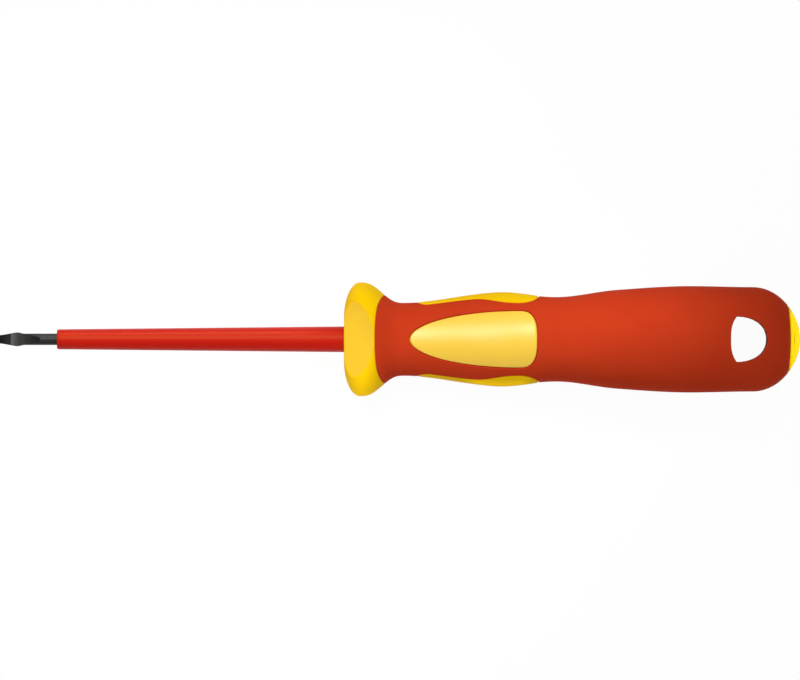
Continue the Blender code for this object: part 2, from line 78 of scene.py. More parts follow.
def skinned(shape, rings):
    """Skin over rings of equal counts: a circle laid on the first ring, then extruded to each next one."""
    circle = bmesh.ops.create_circle(shape, segments=len(rings[0]), radius=1.0)["verts"]
    loop = circle[:1]
    while len(loop) < len(circle):
        neighbours = [e.other_vert(loop[-1]) for e in loop[-1].link_edges]
        loop.append(next(v for v in neighbours if v not in loop))
    made = []
    for ring in rings:
        if made:
            edges = [shape.edges.get(pair) for pair in zip(loop, loop[1:] + loop[:1])]
            grown = bmesh.ops.extrude_edge_only(shape, edges=edges)["geom"]
            new = {v for v in grown if isinstance(v, bmesh.types.BMVert)}
            loop = [next(e.other_vert(v) for e in v.link_edges if e.other_vert(v) in new) for v in loop]
        for v, point in zip(loop, ring):
            v.co = point
        made += loop
    return made


def settled(shape, name, finish, node, sharp=40):
    """The finished piece: closed, brought from millimetres to its place, and standing for a CAD node."""
    bmesh.ops.remove_doubles(shape, verts=shape.verts, dist=weld_distance)
    bmesh.ops.recalc_face_normals(shape, faces=shape.faces)
    bmesh.ops.scale(shape, vec=(millimetre, millimetre, millimetre), verts=shape.verts)
    bmesh.ops.translate(shape, vec=(tip_x, 0, axis_height), verts=shape.verts)
    mesh = bpy.data.meshes.new(name)
    shape.to_mesh(mesh)
    shape.free()
    mesh.shade_smooth()
    mesh.set_sharp_from_angle(angle=math.radians(sharp))
    mesh.materials.append(finish)
    piece = bpy.data.objects.new(name, mesh)
    bpy.context.scene.collection.objects.link(piece)
    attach(piece, "root")
    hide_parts(node)
    return piece


shaft_radius = 1.25
crease, grind_end = 2.5, 8.95
tip_half, crease_half = 0.2, 0.5
tip_outline = [(0.0, 0.93), (crease, 1.31), (3.95, 1.515), (5.5, shaft_radius)]
sleeve_front, guard_front = 12.5, 75.0
wings, wing_run = (114.0, 125.0), 2.2
wing_half_width, wing_half_thickness = 2.3, 0.75
tang_end, tang_chamfer = 137.0, 0.4
grind_run, grind_rise = grind_end - crease, shaft_radius - crease_half
wheel_radius = (grind_run**2 + grind_rise**2) / (2 * grind_rise)


def ground(x):
    """Half thickness that the wheel leaves: end bevel, then a hollow grind that runs out on the shaft."""
    if x < crease:
        return between(tip_half, crease_half, x / crease)
    return crease_half + wheel_radius - math.sqrt(wheel_radius**2 - (min(x, grind_end) - crease) ** 2)


def blade_ring(x, half_width, half_thickness, limit):
    """Oval section cut off flat above and below, with a point on each corner of the flats. The last point
    stays a hair apart from the first, until the two are welded."""
    flat_cells, side_cells, hair = 16, 24, 1e-6
    corner = math.acos(min(limit / half_thickness, 1.0))
    turns = spread(-corner, corner, flat_cells) + spread(corner, math.pi - corner, side_cells)[1:]
    turns += [turn + math.pi for turn in turns[1:-1]] + [2 * math.pi - corner - hair]
    flat = half_thickness * math.cos(corner)
    return [
        (x, half_width * math.sin(a), min(max(half_thickness * math.cos(a), -flat), flat)) for a in turns
    ]


crease_edge = 0.02
tip_stations = spread(0.0, crease - crease_edge, cells=10)
for share in spread(0.0, 1.0, cells=56):
    tip_stations.append(grind_end - (grind_run - crease_edge) * (1 - share) ** 2)
rings = []
for x in tip_stations:
    half = eased(tip_outline, x) if x < tip_outline[-1][0] else shaft_radius
    rings.append(blade_ring(x, half, shaft_radius, ground(x)))
tang = [(x, shaft_radius, shaft_radius) for x in (sleeve_front, guard_front, wings[0] - wing_run)]
tang += [(x, wing_half_width, wing_half_thickness) for x in wings]
tang += [(x, shaft_radius, shaft_radius) for x in (wings[1] + wing_run, tang_end - tang_chamfer)]
tang.append((tang_end, shaft_radius - tang_chamfer, shaft_radius - tang_chamfer))
rings += [blade_ring(x, half, thick, thick) for x, half, thick in tang]
blade = bmesh.new()
blade_verts = skinned(blade, rings)
for end in (blade_verts[:len(rings[0])], blade_verts[-len(rings[0]):]):
    bmesh.ops.contextual_create(blade, geom=end)


def linear(colour):
    """Linear colour from an sRGB hex value."""
    parts = [int(colour[i:i + 2], 16) / 255 for i in (1, 3, 5)]
    return [p / 12.92 if p <= 0.04045 else ((p + 0.055) / 1.055) ** 2.4 for p in parts] + [1.0]


def new_finish(name):
    finish = bpy.data.materials.new(name)
    finish.use_nodes = True
    return finish


def add(finish, kind, inputs=None, stops=(), **settings):
    """Adds a node, or takes the one of that name. An input is a value, or a node's output to link."""
    made = finish.node_tree.nodes.get(kind) or finish.node_tree.nodes.new(kind)
    for name, value in settings.items():
        setattr(made, name, value)
    for i, (place, colour) in enumerate(stops):
        points = made.color_ramp.elements
        point = points[i] if i < len(points) else points.new(place)
        point.position, point.color = place, linear(colour)
    for name, value in (inputs or {}).items():
        if isinstance(value, bpy.types.NodeSocket):
            finish.node_tree.links.new(value, made.inputs[name])
        else:
            made.inputs[name].default_value = value
    return made


# Blacked tool steel: a thin oxide over the lines of drawing along the shaft and the wheel's marks across
# the tip. It is nearly black with a grey sheen. On the ground faces a painted highlight band brightens it
# where the grind starts at the crease, and painted shade darkens it towards the tip end and the grind's
# end.
# The real lines are about 0.01 mm wide and are drawn coarser, so that they show.
blacked_steel = new_finish("blacked_tool_steel")
line_width, line_length = 0.28 * millimetre, 16 * millimetre
mark_width, mark_length = 0.2 * millimetre, 6 * millimetre
spot = add(blacked_steel, "ShaderNodeTexCoord").outputs["Object"]
drawn = add(blacked_steel, "ShaderNodeMapping", {
    "Vector": spot, "Scale": (1 / line_length, 1 / line_width, 1 / line_width)})
drawn = add(blacked_steel, "ShaderNodeTexNoise", {"Vector": drawn.outputs[0], "Scale": 1.0, "Detail": 3.0})
wheel = add(blacked_steel, "ShaderNodeMapping", {
    "Vector": spot, "Scale": (1 / mark_width, 1 / mark_length, 1 / mark_length)})
wheel = add(blacked_steel, "ShaderNodeTexNoise", {"Vector": wheel.outputs[0], "Scale": 1.0, "Detail": 3.0})
axes = add(blacked_steel, "ShaderNodeSeparateXYZ", {"Vector": spot})
along_grind = add(blacked_steel, "ShaderNodeMapRange", {
    "Value": axes.outputs["X"], "From Min": tip_x, "From Max": tip_x + millimetre * grind_end})
run_out, side_lean = 0.99, 0.15
past_grind = add(blacked_steel, "ShaderNodeMath", {
    0: along_grind.outputs[0], 1: run_out}, operation="GREATER_THAN")
facets = add(blacked_steel, "ShaderNodeNewGeometry").outputs["True Normal"]
sideways = add(blacked_steel, "ShaderNodeSeparateXYZ", {"Vector": facets})
sideways = add(blacked_steel, "ShaderNodeMath", {0: sideways.outputs["Y"]}, operation="ABSOLUTE")
beside_grind = add(blacked_steel, "ShaderNodeMath", {
    0: sideways.outputs[0], 1: side_lean}, operation="GREATER_THAN")
unground = add(blacked_steel, "ShaderNodeMath", {
    0: past_grind.outputs[0], 1: beside_grind.outputs[0]}, operation="MAXIMUM")
lines = add(blacked_steel, "ShaderNodeMix", {
    "Factor": unground.outputs[0], "A": wheel.outputs["Fac"], "B": drawn.outputs["Fac"]})
# Painted light along the ground faces: painted shade at the tip end, a painted highlight band just behind
# the crease, then painted shade darkening towards the end of the grind.
grind_painted_light = add(blacked_steel, "ShaderNodeValToRGB", {"Fac": along_grind.outputs[0]}, stops=[
    (0.0, "#151515"), (0.27, "#282827"), (0.29, "#4e4e4c"),
    (0.45, "#343433"), (0.8, "#242423"), (1.0, "#202020")])
# The oxide's own colour on the unground shaft, and the painted light on the ground faces.
oxide_and_painted_grind = add(blacked_steel, "ShaderNodeMixRGB", {
    "Fac": unground.outputs[0], "Color1": grind_painted_light.outputs["Color"], "Color2": linear("#363635")})
streaks = add(blacked_steel, "ShaderNodeValToRGB", {"Fac": lines.outputs[0]}, stops=[
    (0.3, "#c4c4c4"), (0.7, "#ffffff")])
tone = add(blacked_steel, "ShaderNodeMixRGB", {
    "Fac": 1.0, "Color1": oxide_and_painted_grind.outputs["Color"], "Color2": streaks.outputs["Color"]},
    blend_type="MULTIPLY")
gloss = add(blacked_steel, "ShaderNodeMapRange", {
    "Value": lines.outputs[0], "To Min": 0.4, "To Max": 0.52})
relief = add(blacked_steel, "ShaderNodeBump", {
    "Height": lines.outputs[0], "Strength": 0.3, "Distance": 0.000004})
add(blacked_steel, "Principled BSDF", {
    "Base Color": tone.outputs["Color"], "Metallic": 1.0, "Roughness": gloss.outputs[0],
    "Normal": relief.outputs[0]})
settled(blade, "steel_blade", blacked_steel, "blade", sharp=12)

# Sleeve: red polyamide insulation moulded on the shaft, thicker towards the handle. Its tail and
# flange run on into the core, which locks it to the handle.


def turned(shape, profile, steps, closed=False, start=0.0, angle=2 * math.pi):
    """Skin spun about the axis from (x, radius) points, from an angle off +Z towards +Y."""
    points = [shape.verts.new((x, r * math.sin(start), r * math.cos(start))) for x, r in profile]
    pairs = list(zip(points, points[1:]))
    if closed:
        pairs.append((points[-1], points[0]))
    edges = [shape.edges.new(pair) for pair in pairs]
    whole = angle == 2 * math.pi
    bmesh.ops.spin(shape, geom=points + edges, axis=(-1, 0, 0), angle=angle, steps=steps, use_merge=whole)


sleeve_tip_radius, sleeve_root_radius, sleeve_bore, sleeve_edge = 2.18, 2.8, 1.28, 0.45
flange, flange_radius, tail_end = (81.5, 83.5), 3.7, 90.0
sleeve_profile = [(tail_end, sleeve_bore), (sleeve_front, sleeve_bore)]
for turn in spread(math.pi / 2, 0.0, cells=8):
    back, drop = 1 - math.sin(turn), 1 - math.cos(turn)
    sleeve_profile.append((sleeve_front + sleeve_edge * back, sleeve_tip_radius - sleeve_edge * drop))
sleeve_profile += [(x, sleeve_root_radius) for x in (guard_front, flange[0])]
sleeve_profile += [(x, flange_radius) for x in flange]
sleeve_profile += [(x, sleeve_root_radius) for x in (flange[1], tail_end)]
sleeve = bmesh.new()
turned(sleeve, sleeve_profile, steps=96, closed=True)

# Moulded red polyamide: smooth and rather glossy, with faint streaks along the way that the melt ran.
sleeve_polyamide = new_finish("moulded_red_polyamide")
flow_width, flow_length = 0.9 * millimetre, 30 * millimetre
spot = add(sleeve_polyamide, "ShaderNodeTexCoord").outputs["Object"]
flow = add(sleeve_polyamide, "ShaderNodeMapping", {
    "Vector": spot, "Scale": (1 / flow_length, 1 / flow_width, 1 / flow_width)})
flow = add(sleeve_polyamide, "ShaderNodeTexNoise", {"Vector": flow.outputs[0], "Scale": 1.0, "Detail": 2.0})
tone = add(sleeve_polyamide, "ShaderNodeValToRGB", {"Fac": flow.outputs["Fac"]}, stops=[
    (0.3, "#b00e0a"), (0.7, "#b7100b")])
gloss = add(sleeve_polyamide, "ShaderNodeMapRange", {
    "Value": flow.outputs["Fac"], "To Min": 0.4, "To Max": 0.45})
relief = add(sleeve_polyamide, "ShaderNodeBump", {
    "Height": flow.outputs["Fac"], "Strength": 0.1, "Distance": 0.00002})
add(sleeve_polyamide, "Principled BSDF", {
    "Base Color": tone.outputs["Color"], "Roughness": gloss.outputs[0], "Normal": relief.outputs[0],
    "Specular IOR Level": 0.26, "Specular Tint": linear("#ffc878")})
settled(sleeve, "insulating_sleeve", sleeve_polyamide, "shaft_sleeve")

# Core: hard natural polypropylene moulded round the tang and the sleeve's tail. It is out of sight
# under the grip and the guard, so its solid stays as it is.

# Natural polypropylene: milky and waxy, a little cloudy where the melt cooled slowly. Its grain is drawn
# coarser than it is, so that it shows.
core_polypropylene = new_finish("natural_polypropylene")
cloud_size, wax_grain = 6 * millimetre, 0.4 * millimetre
spot = add(core_polypropylene, "ShaderNodeTexCoord").outputs["Object"]
clouds = add(core_polypropylene, "ShaderNodeTexNoise", {
    "Vector": spot, "Scale": 1 / cloud_size, "Detail": 3.0})
grain = add(core_polypropylene, "ShaderNodeTexNoise", {
    "Vector": spot, "Scale": 1 / wax_grain, "Detail": 2.0})
tone = add(core_polypropylene, "ShaderNodeValToRGB", {"Fac": clouds.outputs["Fac"]}, stops=[
    (0.3, "#b3b2a8"), (0.7, "#c3c2b8")])
gloss = add(core_polypropylene, "ShaderNodeMapRange", {
    "Value": grain.outputs["Fac"], "To Min": 0.42, "To Max": 0.56})
relief = add(core_polypropylene, "ShaderNodeBump", {
    "Height": grain.outputs["Fac"], "Strength": 0.1, "Distance": 0.00002})
add(core_polypropylene, "Principled BSDF", {
    "Base Color": tone.outputs["Color"], "Roughness": gloss.outputs[0], "Normal": relief.outputs[0],
    "IOR": 1.49})
core_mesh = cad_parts["handle_core"].data
core_mesh.materials.clear()
core_mesh.materials.append(core_polypropylene)

# Guard: soft yellow elastomer moulded over the front of the handle. It keeps the hand off the
# blade, and the scallops cut into its two broad sides stop the driver rolling off a bench.
# The places on the handle's outline are (x, radius) points.

rim, rim_radius, face_radius = 78.5, 12.39, 4.8
neck, fingers, waist, butt = (88.1, 7.93), (109.0, 10.05), (121.2, 9.2), 174.4
palm, shoulder, dome_power = (butt - 24.0, 11.59), (butt - 10.4, 11.37), 0.56
swell_along, swell_out = 0.45, 0.65
swell = (between(waist[0], palm[0], swell_along), between(waist[1], palm[1], swell_out))
grip_line = [neck, fingers, waist, swell, palm, shoulder]


def handle_radius(x):
    """Radius of the outline that guard, grip and end cap share."""
    if x < rim:
        depth = (rim - x) / (rim - guard_front)
        return between(face_radius, rim_radius, math.sqrt(max(1 - depth**2, 0.0)))
    if x < neck[0]:
        t = (x - rim) / (neck[0] - rim)
        return between(rim_radius, neck[1], t**3 * (6 * t**2 - 15 * t + 10))
    if x > shoulder[0]:
        depth = (x - shoulder[0]) / (butt - shoulder[0])
        return shoulder[1] * max(1 - depth**2, 0.0) ** dome_power
    return eased(grip_line, x)


core_bore, bore_margin, guard_wave_depth = 5.63, 0.01, 2.14


def waved(verts, fixed_x, edge_x, wave):
    """Bends a straight seam into its wave: the skin slides along the outline, least next to fixed_x."""
    for v in verts:
        radius, angle = math.hypot(v.co.y, v.co.z), math.atan2(v.co.y, v.co.z)
        share = (v.co.x - fixed_x) / (edge_x - fixed_x)
        if share > 0 and radius > core_bore + bore_margin:
            drop = handle_radius(v.co.x) - radius
            x = v.co.x + wave(angle) * share
            radius = handle_radius(x) - drop
            v.co = x, radius * math.sin(angle), radius * math.cos(angle)


def guard_wave(angle):
    """How much further back the seam of guard and grip runs between the scallops."""
    return guard_wave_depth * abs(math.sin(angle)) ** 3


# An open seam parts two colours. A tongue under it hides what lies deeper.
seam_half, seam_depth, tongue, tongue_depth, edge_round = 0.05, 0.5, 0.04, 0.6, 0.06
guard_hole, guard_floor, guard_seam = 2.83, 77.9, 81.7
guard_edge = guard_seam - seam_half
guard_profile = [(guard_front, r) for r in spread(guard_hole, face_radius, cells=12)]
for turn in spread(0.0, math.pi / 2, cells=40)[1:]:
    x = rim - (rim - guard_front) * math.cos(turn)
    guard_profile.append((x, between(face_radius, rim_radius, math.sin(turn))))
guard_profile += [(x, handle_radius(x)) for x in spread(rim, guard_edge - edge_round, cells=32)[1:]]
for turn in spread(0.0, math.pi / 2, cells=6)[1:]:
    x = guard_edge - edge_round * (1 - math.sin(turn))
    guard_profile.append((x, handle_radius(x) - edge_round * (1 - math.cos(turn))))
edge_radius = guard_profile[-1][1]
guard_profile.append((guard_edge, edge_radius - seam_depth))
guard_profile += [(guard_seam + tongue, r) for r in (edge_radius - tongue_depth, core_bore)]
guard_profile += [(guard_floor, r) for r in (core_bore, guard_hole)]
guard = bmesh.new()
turned(guard, guard_profile, steps=288, closed=True)
waved(guard.verts, rim, guard_edge, guard_wave)

scallop_radius, scallop_slope, scallop_round = 30.0, math.radians(50), 0.12
scallop_end = next(x for x in spread(rim, neck[0], cells=2000) if handle_radius(x) < palm[1])
flats = set()
for v in guard.verts:
    side = math.copysign(1.0, v.co.z)
    hollow = scallop_radius - math.sqrt(scallop_radius**2 - v.co.y**2)
    above = (v.co.z * side - palm[1]) * math.cos(scallop_slope)
    above -= (v.co.x - scallop_end) * math.sin(scallop_slope) + hollow
    if above > -scallop_round:
        rounded = (above + scallop_round) ** 2 / (4 * scallop_round)
        cut = above if above > scallop_round else rounded
        v.co.x += cut * math.sin(scallop_slope)
        v.co.z -= cut * math.cos(scallop_slope) * side
    if above > scallop_round:
        flats.add(v)
# The flats of the scallops take the second finish.
for face in guard.faces:
    face.material_index = int(flats.issuperset(face.verts))

# Soft yellow elastomer: one bright colour all through, with the dull skin of a grained mould. The grain
# is drawn coarser than it is, so that it shows.
soft_yellow = new_finish("soft_yellow_elastomer")
mottle_size, skin_grain = 8 * millimetre, 0.3 * millimetre
spot = add(soft_yellow, "ShaderNodeTexCoord").outputs["Object"]
mottle = add(soft_yellow, "ShaderNodeTexNoise", {
    "Vector": spot, "Scale": 1 / mottle_size, "Detail": 3.0})
grain = add(soft_yellow, "ShaderNodeTexNoise", {
    "Vector": spot, "Scale": 1 / skin_grain, "Detail": 2.0})
tone = add(soft_yellow, "ShaderNodeValToRGB", {"Fac": mottle.outputs["Fac"]}, stops=[
    (0.3, "#fcc902"), (0.7, "#ffcf04")])
gloss = add(soft_yellow, "ShaderNodeMapRange", {
    "Value": grain.outputs["Fac"], "To Min": 0.55, "To Max": 0.67})
relief = add(soft_yellow, "ShaderNodeBump", {
    "Height": grain.outputs["Fac"], "Strength": 0.05, "Distance": 0.00002})
add(soft_yellow, "Principled BSDF", {
    "Base Color": tone.outputs["Color"], "Roughness": gloss.outputs[0], "Normal": relief.outputs[0],
    "Specular IOR Level": 0.03})

# Polished yellow elastomer: the same melt against the polished flats that mould the scallops.
polished_yellow = soft_yellow.copy()
polished_yellow.name = "polished_yellow_elastomer"
add(polished_yellow, "Principled BSDF", {"Specular IOR Level": 0.7})
guard_piece = settled(guard, "soft_guard", soft_yellow, "guard_collar")
guard_piece.data.materials.append(polished_yellow)

# Grip: red polypropylene moulded over the core, with a pocket for each soft pad and a D-shaped hole
# to hang it by. Its skin is made of spun bands, and of panels round each pocket and hole mouth.

skin_step = math.radians(3)
round_turns = spread(0.0, math.pi / 2, cells=4)


def rolled(x, angle, rise=0.0):
    """Point on the handle's outline at an angle from +Z, or a little above or below it."""
    radius = handle_radius(x) + rise
    return x, radius * math.sin(angle), radius * math.cos(angle)


def on_skin(outline):
    """Flat outline (x, y) seen from outside, laid on the handle as (x, angle)."""
    return [(x, math.asin(y / handle_radius(x))) for x, y in outline]


def resampled(line, stretches):
    """Points along a line. A stretch is the share of the length where it ends, and its number of cells."""
    lengths = [0.0]
    for a, b in zip(line, line[1:]):
        lengths.append(lengths[-1] + math.dist(a, b))
    shares = [0.0]
    for end, cells in stretches:
        shares += spread(shares[-1], end, cells)[1:]
    points, k = [], 0
    for length in [share * lengths[-1] for share in shares]:
        while k < len(line) - 2 and lengths[k + 1] < length:
            k += 1
        part = (length - lengths[k]) / (lengths[k + 1] - lengths[k])
        points.append(tuple(between(a, b, part) for a, b in zip(line[k], line[k + 1])))
    return points


def both_sides(half):
    """Closed outline from its half, which starts and ends on the middle line."""
    return half + [(x, -y) for x, y in half[-2:0:-1]]


def moved_out(outline, distance):
    """The closed outline grown by a distance."""
    grown = []
    for i, (x, y) in enumerate(outline):
        before, after = outline[i - 1], outline[(i + 1) % len(outline)]
        along, across = after[0] - before[0], after[1] - before[1]
        size = math.hypot(along, across)
        grown.append((x - distance * across / size, y + distance * along / size))
    return grown


def panel_border(zone, cells, half_cells):
    """Closed border of a panel of the skin, as (x, angle), from the middle of its front edge."""
    wide = half_cells * skin_step
    half = [(zone[0], angle) for angle in spread(0.0, wide, half_cells)]
    half += [(x, wide) for x in spread(*zone, cells)[1:]]
    half += [(zone[1], angle) for angle in spread(wide, 0.0, half_cells)[1:]]
    return both_sides(half)


def out_to(lip, border, shares):
    """Rings on the skin from a lip out to the panel's border."""
    rings = []
    for share in shares:
        ring = [(between(a[0], b[0], share), between(a[1], b[1], share)) for a, b in zip(lip, border)]
        rings.append([rolled(*point) for point in ring])
    return rings


def facing(shape, verts, angle):
    """Turns part of a shape about the axis, from +Z."""
    bmesh.ops.rotate(shape, cent=(0, 0, 0), matrix=Matrix.Rotation(angle, 3, "X"), verts=verts)


pad_zone, pad_cells, pad_half_cells = (87.0, 121.0), 68, 15
pad_gap, lip_round, pocket_depth = 0.2, 0.1, 1.4

thumb_nose, thumb_widest, thumb_tail, thumb_half = 89.4, 113.15, 3.85, 6.22
nose_length = thumb_widest - thumb_nose
thumb_line = []
for turn in spread(0.0, math.pi / 2, cells=120):
    thumb_line.append((thumb_widest - nose_length * math.cos(turn), thumb_half * math.sin(turn)))


def pad_tail(widest, length, half, squareness):
    """Rounded-off end of a pad."""
    power = 2 / squareness
    turns = spread(0.0, math.pi / 2, cells=120)[1:]
    return [(widest + length * math.sin(a) ** power, half * max(math.cos(a), 0.0) ** power) for a in turns]


thumb_line += pad_tail(thumb_widest, thumb_tail, thumb_half, squareness=2.85)
thumb_stretches = [(0.16, pad_half_cells), (0.78, pad_cells), (1.0, pad_half_cells)]
thumb_outline = both_sides(resampled(thumb_line, thumb_stretches))

finger_nose, finger_round, finger_widest, finger_tail = 91.15, 2.6, 110.6, 6.7
slim_end, slim_half, flare, finger_half = finger_nose + finger_round, 3.1, (103.2, 3.85), 5.79
finger_sides = [(slim_end, slim_half), flare, (finger_widest, finger_half)]
finger_line = []
for turn in spread(0.0, math.pi / 2, cells=40):
    finger_line.append((finger_nose + finger_round * (1 - math.cos(turn)), slim_half * math.sin(turn)))
finger_line += [(x, eased(finger_sides, x)) for x in spread(slim_end, finger_widest, cells=80)[1:]]
finger_line += pad_tail(finger_widest, finger_tail, finger_half, squareness=2.6)
finger_stretches = [(0.1, pad_half_cells), (0.8, pad_cells), (1.0, pad_half_cells)]
finger_outline = both_sides(resampled(finger_line, finger_stretches))


def spine(outline, inset=5.0):
    """The outline drawn in to its middle line, as (x, angle), which ends short of its nose and tail."""
    nose, tail = outline[0][0], outline[len(outline) // 2][0]
    return [(between(nose + inset, tail - inset, (x - nose) / (tail - nose)), 0.0) for x, _ in outline]


def pocket_panel(shape, outline, angle):
    """Panel of the skin with a pad's pocket: floor, wall, rounded lip, then out to the border."""
    rings = [[rolled(*point, -pocket_depth) for point in spine(outline)]]
    rings.append([rolled(*point, -pocket_depth) for point in on_skin(moved_out(outline, pad_gap))])
    for turn in round_turns:
        lip = on_skin(moved_out(outline, pad_gap + lip_round * (1 - math.cos(turn))))
        rings.append([rolled(*point, -lip_round * (1 - math.sin(turn))) for point in lip])
    border = panel_border(pad_zone, pad_cells, pad_half_cells)
    rings += out_to(lip, border, shares=(0.06, 0.15, 0.28, 0.45, 0.63, 0.81, 1.0))
    facing(shape, skinned(shape, rings), angle)


hole_zone, hole_cells, hole_half_cells = (157.5, 169.0), 23, 10
hole_end, hole_front, hole_half, hole_bow = butt - 7.4, butt - 15.25, 4.92, 1.25
hole_corner, hole_lip_round, wall_top = hole_front + hole_bow, 0.35, 8.0
# The front edge is nearly straight in its middle and bows back towards its corners.
bow_line = [(hole_front + hole_bow * share**3, hole_half * share) for share in spread(0.0, 1.0, cells=40)]
end_line = [(hole_corner, hole_half)]
end_line += pad_tail(hole_corner, hole_end - hole_corner, hole_half, squareness=2.2)
hole_outline = resampled(bow_line, [(1.0, hole_half_cells)])
hole_outline += resampled(end_line, [(0.66, hole_cells), (1.0, hole_half_cells)])[1:]
hole_outline = both_sides(hole_outline)


def hole_panel(shape, angle):
    """Panel of the skin with one mouth of the hanging hole, and the hole's wall down to the axis."""
    rings = [[(x, y, z) for x, y in hole_outline] for z in spread(0.0, wall_top, cells=6)]
    for turn in round_turns:
        lip = moved_out(hole_outline, hole_lip_round * (1 - math.cos(turn)))
        drop = hole_lip_round * (1 - math.sin(turn))
        rings.append([(x, y, math.sqrt(handle_radius(x) ** 2 - y**2) - drop) for x, y in lip])
    border = panel_border(hole_zone, hole_cells, hole_half_cells)
    rings += out_to(on_skin(lip), border, shares=(0.12, 0.3, 0.52, 0.75, 1.0))
    facing(shape, skinned(shape, rings), angle)


cap_wave_depth = 0.5


def cap_wave(angle):
    """How much further back the seam of grip and end cap runs on the two broad sides."""
    return cap_wave_depth * math.cos(angle) ** 2


core_end, front_face_radius = 143.1, 9.0
cap_seam, socket_radius, socket_length = butt - 2.75, 4.1, 2.5
grip_front, grip_back = guard_seam + seam_half, cap_seam - seam_half
whole_steps = round(2 * math.pi / skin_step)
grip = bmesh.new()
front_profile = [(core_end, 0.0), (core_end, core_bore)]
front_profile += [(grip_front, core_bore), (grip_front, front_face_radius)]
for turn in spread(math.pi / 2, 0.0, cells=4):
    x = grip_front + edge_round * (1 - math.sin(turn))
    front_profile.append((x, handle_radius(x) - edge_round * (1 - math.cos(turn))))
front_profile += [(x, handle_radius(x)) for x in spread(grip_front + edge_round, pad_zone[0], cells=16)[1:]]
turned(grip, front_profile, whole_steps)
waved(grip.verts, pad_zone[0], grip_front, guard_wave)

rear = bmesh.new()
rear_profile = [(x, handle_radius(x)) for x in spread(hole_zone[1], grip_back - edge_round, cells=10)]
for turn in spread(0.0, math.pi / 2, cells=4)[1:]:
    x = grip_back - edge_round * (1 - math.sin(turn))
    rear_profile.append((x, handle_radius(x) - edge_round * (1 - math.cos(turn))))
socket_floor = cap_seam - socket_length
rear_profile += [(grip_back, socket_radius), (socket_floor, socket_radius), (socket_floor, 0.0)]
turned(rear, rear_profile, whole_steps)
waved(rear.verts, hole_zone[1], grip_back, cap_wave)
rear_mesh = bpy.data.meshes.new("grip_rear")
rear.to_mesh(rear_mesh)
rear.free()
grip.from_mesh(rear_mesh)
bpy.data.meshes.remove(rear_mesh)

turned(grip, [(x, handle_radius(x)) for x in spread(pad_zone[1], hole_zone[0], cells=72)], whole_steps)
side_cells = whole_steps // 2 - 2 * hole_half_cells
for turn in (0.0, math.pi):
    pocket_panel(grip, thumb_outline, turn)
    pocket_panel(grip, finger_outline, turn + math.pi / 2)
    hole_panel(grip, turn)
    side = [(x, handle_radius(x)) for x in spread(*hole_zone, hole_cells)]
    side_start = hole_half_cells * skin_step + turn
    turned(grip, side, side_cells, start=side_start, angle=side_cells * skin_step)

# Moulded red polypropylene: satin, with the fine grain of an eroded mould and slightly uneven pigment.
# The grain is drawn coarser than it is, so that it shows.
red_polypropylene = new_finish("moulded_red_polypropylene")
pigment_size, mould_grain = 9 * millimetre, 0.35 * millimetre
spot = add(red_polypropylene, "ShaderNodeTexCoord").outputs["Object"]
pigment = add(red_polypropylene, "ShaderNodeTexNoise", {
    "Vector": spot, "Scale": 1 / pigment_size, "Detail": 3.0})
grain = add(red_polypropylene, "ShaderNodeTexNoise", {
    "Vector": spot, "Scale": 1 / mould_grain, "Detail": 2.0})
tone = add(red_polypropylene, "ShaderNodeValToRGB", {"Fac": pigment.outputs["Fac"]}, stops=[
    (0.3, "#c83b1c"), (0.7, "#ce3e1e")])
gloss = add(red_polypropylene, "ShaderNodeMapRange", {
    "Value": grain.outputs["Fac"], "To Min": 0.5, "To Max": 0.62})
relief = add(red_polypropylene, "ShaderNodeBump", {
    "Height": grain.outputs["Fac"], "Strength": 0.1, "Distance": 0.00002})
add(red_polypropylene, "Principled BSDF", {
    "Base Color": tone.outputs["Color"], "Roughness": gloss.outputs[0], "Normal": relief.outputs[0],
    "Specular IOR Level": 0.01, "Specular Tint": linear("#ffc078")})
settled(grip, "hard_grip", red_polypropylene, "grip_body")

# Pads: soft yellow elastomer moulded into the grip's pockets and crowned a little over it, for the
# thumb above and below and for the fingers at the sides.

pad_crown, pad_round = 0.23, 0.2
foot_play, floor_play, foot_top, wall_bottom = 0.02, 0.04, -0.75, -0.65


def half_width_at(outline, x):
    """Half width of a closed outline at x."""
    half = outline[:len(outline) // 2 + 1]
    k = next((i for i in range(len(half) - 2) if x < half[i + 1][0]), len(half) - 2)
    share = (x - half[k][0]) / (half[k + 1][0] - half[k][0])
    return between(half[k][1], half[k + 1][1], min(max(share, 0.0), 1.0))


def soft_pad(outline, angle, finish, name, node):
    """A pad from its underside up: foot that fills the pocket, open groove, rounded edge, crowned top."""
    widest = max(y for _, y in outline)
    middle = spine(outline)
    foot = on_skin(moved_out(outline, pad_gap - foot_play))
    rings = [[rolled(*point, floor_play - pocket_depth) for point in middle]]
    rings += [[rolled(*point, rise) for point in foot] for rise in (floor_play - pocket_depth, foot_top)]
    rings.append([rolled(*point, wall_bottom) for point in on_skin(outline)])
    for turn in round_turns:
        edge = on_skin(moved_out(outline, -pad_round * (1 - math.cos(turn))))
        rings.append([rolled(*point, -pad_round * (1 - math.sin(turn))) for point in edge])
    for share in (0.04, 0.1, 0.18, 0.28, 0.4, 0.52, 0.64, 0.76, 0.88, 1.0):
        ring = []
        for a, b in zip(edge, middle):
            x, around = between(a[0], b[0], share), between(a[1], b[1], share)
            across = half_width_at(outline, x) ** 2 - (handle_radius(x) * math.sin(around)) ** 2
            ring.append(rolled(x, around, pad_crown * max(across, 0.0) / widest**2))
        rings.append(ring)
    pad = bmesh.new()
    facing(pad, skinned(pad, rings), angle)
    settled(pad, name, finish, node)


